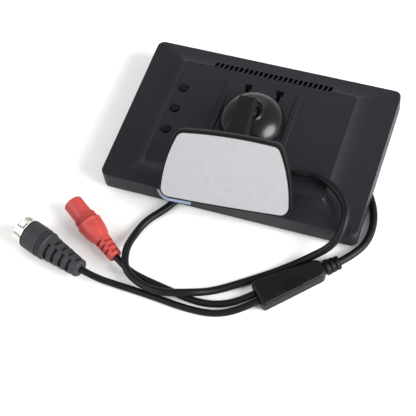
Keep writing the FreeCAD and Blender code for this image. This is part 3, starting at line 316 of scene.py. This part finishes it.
def moulded(name, colour, roughness, grain=0.2, depth=0.00006, scale=4000.0, cloud=0.2, metallic=0.0,
            range_=0.12, cloud_scale=60.0, **fixed):
    """A Principled material whose colour, roughness and bump come from the shared surface group."""
    material = bpy.data.materials.new(name)
    material.use_nodes = True
    tree = material.node_tree
    shader = tree.nodes["Principled BSDF"]
    group = tree.nodes.new("ShaderNodeGroup")
    group.node_tree = bpy.data.node_groups.get("Moulded Surface") or surface_group()
    group.inputs["Colour"].default_value = (*colour[:3], 1)
    group.inputs["Grain Scale"].default_value = scale
    group.inputs["Cloud Scale"].default_value = cloud_scale
    group.inputs["Cloud"].default_value = cloud
    group.inputs["Roughness"].default_value = roughness
    group.inputs["Roughness Range"].default_value = range_
    bump = add_node(tree, "ShaderNodeBump", Strength=grain, Distance=depth, Height=group.outputs["Height"])
    tree.links.new(group.outputs["Colour"], shader.inputs["Base Color"])
    tree.links.new(group.outputs["Roughness"], shader.inputs["Roughness"])
    tree.links.new(bump.outputs["Normal"], shader.inputs["Normal"])
    shader.inputs["Metallic"].default_value = metallic
    for key, value in fixed.items():
        shader.inputs[key.replace("_", " ")].default_value = value
    return material


# ---------------------------------------------------------------- mesh helpers


def put(mesh_or_curve, name, body, material=None):
    """Link new data as a piece that rides on a body."""
    piece = bpy.data.objects.new(name, mesh_or_curve)
    bpy.context.collection.objects.link(piece)
    if material is not None:
        mesh_or_curve.materials.clear()
        mesh_or_curve.materials.append(material)
    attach(piece, body)
    return piece


def paint(node, material):
    """Give a CAD node a finish."""
    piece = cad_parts[node]
    if not piece.material_slots:
        raise RuntimeError(f"{node} has no material slot")
    for slot in piece.material_slots:
        slot.material = material


def soften(node, body, material, edge=0.00025, corner=28.0):
    """A copy of a CAD node whose sharp edges are rounded, which stands for the node."""
    work = bmesh.new()
    work.from_mesh(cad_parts[node].data)
    bmesh.ops.remove_doubles(work, verts=work.verts, dist=WELD)
    bmesh.ops.dissolve_limit(work, angle_limit=FLAT, verts=work.verts, edges=work.edges)
    limit = math.radians(corner)
    sharp = [item for item in work.edges if len(item.link_faces) == 2 and item.calc_face_angle() > limit]
    if edge > 0:
        bmesh.ops.bevel(
            work, geom=sharp, offset=edge, offset_type="OFFSET", segments=EDGE_SEGMENTS, profile=0.5,
            affect="EDGES", clamp_overlap=True, loop_slide=True, harden_normals=False,
        )
    mesh = bpy.data.meshes.new(f"{node}_look")
    work.to_mesh(mesh)
    work.free()
    for face in mesh.polygons:
        face.use_smooth = True
    mesh.set_sharp_from_angle(angle=SMOOTH)
    piece = put(mesh, f"{node}_look", body, material)
    weighted = piece.modifiers.new("weighted", "WEIGHTED_NORMAL")
    weighted.keep_sharp = True
    weighted.weight = 100
    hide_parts(node)
    return piece


def cord_curve(name, route, diameter, material):
    """A round cord on one smooth spline, with the route's points as its control points."""
    curve = bpy.data.curves.new(name, "CURVE")
    curve.dimensions = "3D"
    curve.resolution_u = 16
    curve.bevel_depth = diameter / 2
    curve.bevel_resolution = 8
    curve.use_fill_caps = True
    spline = curve.splines.new("NURBS")
    spline.points.add(len(route) - 1)
    for point, place in zip(spline.points, route):
        point.co = (*place, 1.0)
    spline.order_u = 3
    spline.use_endpoint_u = True
    return put(curve, name, "monitor", material)


def pit_shade_discs(name, places, place):
    """Painted shade of small pits on a moulding: thin tapered near-black discs."""
    work = bmesh.new()
    for x, y in places:
        bmesh.ops.create_cone(
            work, cap_ends=True, segments=14, radius1=PIT_RADIUS, radius2=PIT_TAPER * PIT_RADIUS,
            depth=PIT_THICKNESS, matrix=Matrix.Translation((x, y, PIT_LIFT)),
        )
    mesh = bpy.data.meshes.new(name)
    work.to_mesh(mesh)
    work.free()
    mesh.transform(place)
    return put(mesh, name, "monitor", material("painted pit shade"))


def along(start, end):
    """Matrix that lays +Z along the line from start to end."""
    turn = (end - start).to_track_quat("Z", "Y")
    return Matrix.Translation(start) @ turn.to_matrix().to_4x4()


def nodes_piece(name, tree, values, place, body, material):
    """Evaluate a geometry node tree into a plain mesh piece, then put it in its place."""
    holder = bpy.data.objects.new(f"{name}_maker", bpy.data.meshes.new(f"{name}_maker"))
    bpy.context.collection.objects.link(holder)
    modifier = holder.modifiers.new("maker", "NODES")
    modifier.node_group = tree
    for item in tree.interface.items_tree:
        if item.item_type == "SOCKET" and item.in_out == "INPUT" and item.name in values:
            modifier[item.identifier] = values[item.name]
    bpy.context.view_layer.update()
    evaluated = holder.evaluated_get(bpy.context.evaluated_depsgraph_get())
    mesh = bpy.data.meshes.new_from_object(evaluated)
    mesh.name = name
    holder.modifiers.remove(modifier)
    bpy.data.objects.remove(holder)
    if not mesh.polygons:
        raise RuntimeError(f"{name} came out empty")
    mesh.transform(place)
    return put(mesh, name, body, material)


def geometry_tree(name, inputs):
    """A geometry node tree with the named inputs and one geometry output."""
    tree = bpy.data.node_groups.new(name, "GeometryNodeTree")
    for label, kind, value in inputs:
        socket = tree.interface.new_socket(name=label, in_out="INPUT", socket_type=kind)
        if value is not None:
            socket.default_value = value
    tree.interface.new_socket(name="Geometry", in_out="OUTPUT", socket_type="NodeSocketGeometry")
    return tree, tree.nodes.new("NodeGroupInput"), tree.nodes.new("NodeGroupOutput")


def finish_tree(tree, geometry, material_socket, result):
    """Realize instances and set the material, then send the geometry out."""
    real = add_node(tree, "GeometryNodeRealizeInstances", Geometry=geometry)
    dressed = add_node(
        tree, "GeometryNodeSetMaterial", Geometry=real.outputs["Geometry"], Material=material_socket
    )
    tree.links.new(dressed.outputs["Geometry"], result.inputs["Geometry"])


def thread_tree():
    """A screw thread: a small triangular profile swept along a helix."""
    tree, given, result = geometry_tree(
        "Screw Thread",
        [
            ("Turns", "NodeSocketFloat", 7.0),
            ("Radius", "NodeSocketFloat", 0.0079),
            ("Height", "NodeSocketFloat", 0.007),
            ("Depth", "NodeSocketFloat", 0.0004),
            ("Material", "NodeSocketMaterial", None),
        ],
    )
    helix = add_node(
        tree, "GeometryNodeCurveSpiral", Resolution=48, Rotations=given.outputs["Turns"],
        Start_Radius=given.outputs["Radius"], End_Radius=given.outputs["Radius"],
        Height=given.outputs["Height"],
    )
    profile = add_node(
        tree, "GeometryNodeCurvePrimitiveCircle", mode="RADIUS", Resolution=4, Radius=given.outputs["Depth"]
    )
    swept = add_node(
        tree, "GeometryNodeCurveToMesh", Curve=helix.outputs["Curve"], Profile_Curve=profile.outputs["Curve"],
        Fill_Caps=True,
    )
    finish_tree(tree, swept.outputs["Mesh"], given.outputs["Material"], result)
    return tree


def rib_tree():
    """A row of equal bars along X."""
    tree, given, result = geometry_tree(
        "Grip Ribs",
        [
            ("Count", "NodeSocketInt", 9),
            ("Pitch", "NodeSocketFloat", 0.002),
            ("Width", "NodeSocketFloat", 0.0008),
            ("Length", "NodeSocketFloat", 0.008),
            ("Height", "NodeSocketFloat", 0.0008),
            ("Material", "NodeSocketMaterial", None),
        ],
    )
    size = add_node(
        tree, "ShaderNodeCombineXYZ", X=given.outputs["Width"], Y=given.outputs["Length"],
        Z=given.outputs["Height"],
    )
    bar = add_node(tree, "GeometryNodeMeshCube", Size=size.outputs["Vector"])
    step = add_node(tree, "ShaderNodeCombineXYZ", X=given.outputs["Pitch"])
    row = add_node(tree, "GeometryNodeMeshLine", Count=given.outputs["Count"], Offset=step.outputs["Vector"])
    bars = add_node(
        tree, "GeometryNodeInstanceOnPoints", Points=row.outputs["Mesh"], Instance=bar.outputs["Mesh"]
    )
    finish_tree(tree, bars.outputs["Instances"], given.outputs["Material"], result)
    return tree


# ---------------------------------------------------------------- materials


def sheath(name, colour, coat=0.0):
    """Vinyl of the cords and their fittings."""
    return moulded(
        name, colour, 0.46, grain=0.12, depth=0.00008, scale=1600.0, cloud=0.25, cloud_scale=140.0,
        Specular_IOR_Level=0.2, Coat_Weight=coat, Coat_Roughness=0.3,
    )


def material(name):
    """The finish of that name, made when it is first asked for."""
    made = bpy.data.materials.get(name)
    if made is not None:
        return made
    scene = bpy.context.scene
    case = scene.monitor_case
    stand = scene.monitor_stand
    cords = scene.monitor_cords
    makers = {
        "case plastic": lambda: moulded(
            name, case.colour, 0.46, grain=case.grain, scale=3200.0, cloud=0.3, Specular_IOR_Level=0.22
        ),
        "key plastic": lambda: moulded(
            name, (0.003, 0.003, 0.004), 0.48, grain=0.12, scale=3200.0, cloud=0.1, Specular_IOR_Level=0.14
        ),
        "stand plastic": lambda: moulded(
            name, stand.colour, 0.5, grain=0.2, scale=3000.0, cloud=0.25, Specular_IOR_Level=0.16
        ),
        "dome plastic": lambda: moulded(
            name, stand.dome_colour, 0.26, grain=0.02, depth=0.00004, scale=260.0, cloud=0.1, range_=0.08,
            Specular_IOR_Level=0.35,
        ),
        "black sheath": lambda: sheath(name, cords.black),
        "connector rubber": lambda: moulded(
            name, cords.rubber, 0.62, grain=0.35, depth=0.0001, scale=1500.0, cloud=0.35, cloud_scale=110.0,
            Specular_IOR_Level=0.3,
        ),
        "red sheath": lambda: sheath(name, cords.red, 0.15),
        "nickel": lambda: moulded(
            name, (0.43, 0.41, 0.355), 0.3, grain=0.05, scale=1200.0, cloud=0.35, metallic=1.0, range_=0.2
        ),
        "gold": lambda: moulded(name, (0.78, 0.56, 0.22), 0.25, grain=0.03, metallic=1.0),
        "zinc steel": lambda: moulded(name, (0.5, 0.5, 0.5), 0.35, grain=0.1, scale=900.0, metallic=1.0),
        # Near-black steel for the parts inside the case: painted shade, so what shows through the keyholes
        # reads dark.
        "inner steel darkened as painted shade": lambda: moulded(name, (0.02, 0.02, 0.02), 0.5, grain=0.1, scale=900.0, metallic=1.0),
        "screen glass": lambda: moulded(
            name, (0.012, 0.012, 0.014), 0.08, grain=0.01, scale=300.0, cloud=0.05, range_=0.04,
            Coat_Weight=1.0,
        ),
        "panel": lambda: moulded(name, (0.01, 0.01, 0.012), 0.2, grain=0.02, cloud=0.1),
        "solder mask": lambda: moulded(
            name, (0.003, 0.008, 0.005), 0.6, grain=0.05, scale=900.0, cloud=0.4, Specular_IOR_Level=0.1
        ),
        # Near-black painted shade for the small pits on the splitter.
        "painted pit shade": lambda: moulded(name, (0.0008, 0.0008, 0.0008), 0.7, grain=0.1, Specular_IOR_Level=0.05),
        "chip black": lambda: moulded(name, (0.012, 0.012, 0.012), 0.5, grain=0.2),
        "foam": lambda: moulded(name, (0.012, 0.012, 0.013), 0.8, grain=0.6, depth=0.0002, scale=1800.0),
        "liner paper": lambda: moulded(
            name, stand.liner, 0.5, grain=0.35, depth=0.00025, scale=330.0, cloud=0.16, cloud_scale=240.0
        ),
        "tab film": lambda: moulded(
            name, stand.film, 0.25, grain=0.1, scale=400.0, cloud=0.3, cloud_scale=160.0
        ),
        "floor": lambda: moulded(name, scene.monitor_stage.floor, 0.85, grain=0.02, scale=500.0, cloud=0.01),
    }
    return makers[name]()


# ---------------------------------------------------------------- operators


class MONITOR_OT_camera(bpy.types.Operator):
    """Place the camera"""

    bl_idname = "monitor.camera"
    bl_label = "Camera"

    def execute(self, context):
        settings = context.scene.monitor_stage
        azimuth, elevation, roll = settings.azimuth, settings.elevation, settings.roll
        right = Vector((math.cos(azimuth), math.sin(azimuth), 0))
        flat = Vector((math.sin(azimuth), -math.cos(azimuth), 0))
        back = flat * math.cos(elevation) + Vector((0, 0, 1)) * math.sin(elevation)
        up = back.cross(right)
        side = right * math.cos(roll) + up * math.sin(roll)
        rise = up * math.cos(roll) - right * math.sin(roll)
        data = bpy.data.cameras.new("camera")
        data.lens = settings.lens
        data.sensor_width = 36.0
        data.clip_start = 0.01
        data.clip_end = 20.0
        camera = bpy.data.objects.new("camera", data)
        context.collection.objects.link(camera)
        place = CASE_MIDDLE - side * VIEW_ASIDE - rise * VIEW_DOWN + back * VIEW_DISTANCE
        camera.matrix_world = Matrix.Translation(place) @ Matrix((side, rise, back)).transposed().to_4x4()
        context.scene.camera = camera
        return {"FINISHED"}


class MONITOR_OT_lead(bpy.types.Operator):
    """Lay the lead from its outlet, under the case, to the splitter"""

    bl_idname = "monitor.lead"
    bl_label = "Lead and splitter"

    def execute(self, context):
        cords = context.scene.monitor_cords
        black = material("black sheath")
        lead = cord_curve("lead", LEAD_ROUTE, cords.lead, black)
        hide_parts("lead_loop", "lead_under", "lead_right")
        splitter = soften("splitter_body", "monitor", black, edge=0.0)
        boot = soften("splitter_boot", "monitor", black, edge=0.0)
        foot = Matrix.Translation(SPLITTER_FOOT) @ Matrix.Rotation(SPLITTER_TURN, 4, "Z")
        face = foot @ Matrix.Translation((0, 0, SPLITTER_DEPTH))
        settings = context.scene.monitor_connectors
        ribs = nodes_piece(
            "splitter_ribs",
            rib_tree(),
            {
                "Count": settings.ribs,
                "Pitch": RIB_PITCH,
                "Width": RIB_WIDTH,
                "Length": RIB_LENGTH,
                "Height": RIB_HEIGHT,
                "Material": black,
            },
            face @ Matrix.Translation((*RIBS_START, 0)),
            "monitor",
            black,
        )
        # The three near-black discs are painted shade inside the pits on the splitter's top.
        pits = pit_shade_discs("splitter_pit_shade", PIT_PLACES, face)
        return {"FINISHED"}


class MONITOR_OT_tails(bpy.types.Operator):
    """Lay the video tail and the power tail with their connectors"""

    bl_idname = "monitor.tails"
    bl_label = "Tails and connectors"

    def execute(self, context):
        cords = context.scene.monitor_cords
        black = material("black sheath")
        red = material("red sheath")
        nickel = material("nickel")
        video = cord_curve("video_tail_cord", list(reversed(VIDEO_ROUTE)), cords.tail, black)
        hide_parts("video_tail")
        power = cord_curve("power_tail_cord", list(reversed(POWER_ROUTE)), cords.tail, black)
        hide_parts("power_tail")
        body = soften("video_body", "monitor", material("connector rubber"), edge=0.0002)
        ring = soften("video_ring", "monitor", nickel, edge=0.0001)
        insert = soften("video_insert", "monitor", black, edge=0.0)
        pins = soften("video_pins", "monitor", material("gold"), edge=0.0002)
        settings = context.scene.monitor_connectors
        thread = nodes_piece(
            "video_thread",
            thread_tree(),
            {
                "Turns": float(settings.turns),
                "Radius": THREAD_RADIUS,
                "Height": settings.turns * settings.pitch,
                "Depth": THREAD_DEPTH,
                "Material": nickel,
            },
            along(VIDEO_FRONT, VIDEO_BACK) @ Matrix.Translation((0, 0, THREAD_START)),
            "monitor",
            nickel,
        )
        jack = soften("power_body", "monitor", red, edge=0.0002)
        sleeve = soften("power_sleeve", "monitor", nickel, edge=0.0)
        pin = soften("power_pin", "monitor", nickel, edge=0.0002)
        return {"FINISHED"}


class MONITOR_OT_case(bpy.types.Operator):
    """Finish the case: bezel, cover, keys and what is inside"""

    bl_idname = "monitor.case"
    bl_label = "Case"

    def execute(self, context):
        edge = context.scene.monitor_case.edge
        plastic = material("case plastic")
        soften("front_bezel", "monitor", plastic, edge=edge)
        soften("rear_cover", "monitor", plastic, edge=edge, corner=40.0)
        for key in ("menu_button", "up_button", "down_button"):
            soften(key, f"{key}_key", material("key plastic"), edge=0.0)
        for node, finish in {
            "screen_glass": "screen glass",
            "lcd_panel": "panel",
            # The tray, switches and screws inside take near-black steel as painted shade for the keyholes.
            "backlight_tray": "inner steel darkened as painted shade",
            "main_board": "solder mask",
            "board_chips": "chip black",
            "button_board": "solder mask",
            "tact_switches": "inner steel darkened as painted shade",
            "board_screws": "inner steel darkened as painted shade",
            "board_plug": "chip black",
            "inner_lead": "black sheath",
        }.items():
            paint(node, material(finish))
        soften("strain_relief", "monitor", material("black sheath"), edge=0.0)
        return {"FINISHED"}


class MONITOR_OT_stand(bpy.types.Operator):
    """Finish the dome, ball, arm and base plate"""

    bl_idname = "monitor.stand"
    bl_label = "Stand"

    def execute(self, context):
        plastic = material("stand plastic")
        soften("dome_cover", "bracket", material("dome plastic"), edge=0.0)
        soften("track_plate", "bracket", plastic, edge=0.0001)
        paint("bracket_screws", material("zinc steel"))
        paint("wave_washer", material("zinc steel"))
        paint("socket_cup", plastic)
        soften("ball", "ball_body", plastic, edge=0.0)
        soften("arm", "stand", plastic, edge=0.0004)
        soften("base_plate", "stand", plastic, edge=0.0)
        paint("plate_screws", material("zinc steel"))
        paint("adhesive_pad", material("foam"))
        soften("release_liner", "stand", material("liner paper"), edge=0.0)
        paint("pull_tab", material("tab film"))
        return {"FINISHED"}


class MONITOR_OT_stage(bpy.types.Operator):
    """Lay the floor and set the soft lights"""

    bl_idname = "monitor.stage"
    bl_label = "Floor and lights"

    def execute(self, context):
        half = FLOOR_HALF
        corners = [(-half, -half, 0), (half, -half, 0), (half, half, 0), (-half, half, 0)]
        mesh = bpy.data.meshes.new("floor")
        mesh.from_pydata(corners, [], [(0, 1, 2, 3)])
        floor = bpy.data.objects.new("floor", mesh)
        context.collection.objects.link(floor)
        mesh.materials.append(material("floor"))
        floor.location.z = -FLOOR_DROP
        world = bpy.data.worlds.new("studio")
        world.use_nodes = True
        world.node_tree.nodes["Background"].inputs["Color"].default_value = (1, 1, 1, 1)
        world.node_tree.nodes["Background"].inputs["Strength"].default_value = SKY_STRENGTH
        context.scene.world = world
        context.scene.view_settings.view_transform = "Standard"
        for name, place, size, power in LIGHTS:
            data = bpy.data.lights.new(name, "AREA")
            data.shape = "DISK"
            data.size = size
            data.energy = power
            lamp = bpy.data.objects.new(name, data)
            context.collection.objects.link(lamp)
            aim = LIGHT_AIM - Vector(place)
            lamp.matrix_world = Matrix.Translation(place) @ aim.to_track_quat("-Z", "Y").to_matrix().to_4x4()
        return {"FINISHED"}


STEPS = (
    MONITOR_OT_camera,
    MONITOR_OT_lead,
    MONITOR_OT_tails,
    MONITOR_OT_case,
    MONITOR_OT_stand,
    MONITOR_OT_stage,
)


class MONITOR_PT_panel(bpy.types.Panel):
    """The steps that finish the monitor"""

    bl_idname = "MONITOR_PT_panel"
    bl_label = "Backup Monitor"
    bl_space_type = "VIEW_3D"
    bl_region_type = "UI"
    bl_category = "Monitor"

    def draw(self, context):
        for step in STEPS:
            self.layout.operator(step.bl_idname)


SETTINGS = {
    "monitor_case": CaseSettings,
    "monitor_stand": StandSettings,
    "monitor_cords": CordSettings,
    "monitor_connectors": ConnectorSettings,
    "monitor_stage": StageSettings,
}


def register():
    """Register the settings, the operators and the panel."""
    for name, group in SETTINGS.items():
        bpy.utils.register_class(group)
        setattr(bpy.types.Scene, name, PointerProperty(type=group))
    for item in (*STEPS, MONITOR_PT_panel):
        bpy.utils.register_class(item)


def unregister():
    """Take back what register made."""
    for item in (MONITOR_PT_panel, *reversed(STEPS)):
        bpy.utils.unregister_class(item)
    for name, group in SETTINGS.items():
        delattr(bpy.types.Scene, name)
        bpy.utils.unregister_class(group)


def main():
    """Run every step in order."""
    register()
    for step in STEPS:
        group, name = step.bl_idname.split(".")
        getattr(getattr(bpy.ops, group), name)()


if __name__ == "__main__":
    main()
